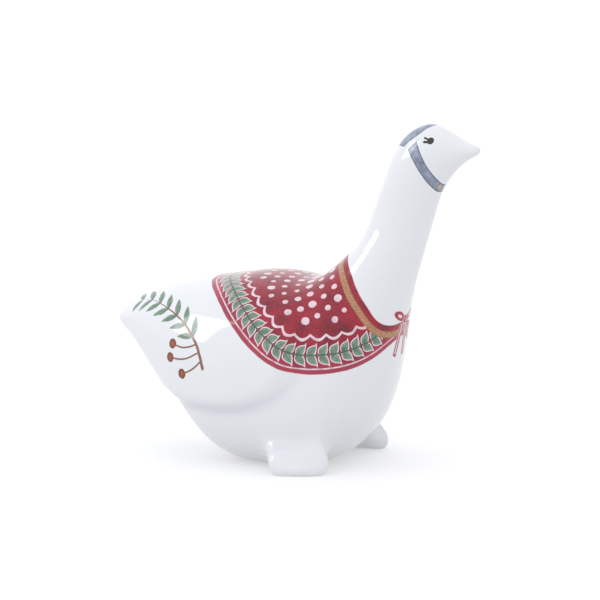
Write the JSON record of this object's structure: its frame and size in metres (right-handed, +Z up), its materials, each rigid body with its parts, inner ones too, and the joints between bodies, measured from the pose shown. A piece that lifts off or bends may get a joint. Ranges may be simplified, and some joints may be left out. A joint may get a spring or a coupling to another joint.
{
  "type": "goose figurine",
  "caption": "Standing goose figurine in glazed porcelain, long raised neck, folded wings in low relief, splayed feet, hollow body with a vent hole in its flat base.",
  "frame": {"origin": "middle of the bounding box's base, on the surface that the goose stands on", "axes": "+X towards the beak, +Z up, and Y = 0 is the plane of symmetry"},
  "size_m": [0.1121, 0.0576, 0.0993],
  "materials": {
    "glazed_porcelain": "gloss glaze"
  },
  "bodies": {
    "root": {"goose_figurine": "glazed_porcelain"}
  },
  "joints": []
}
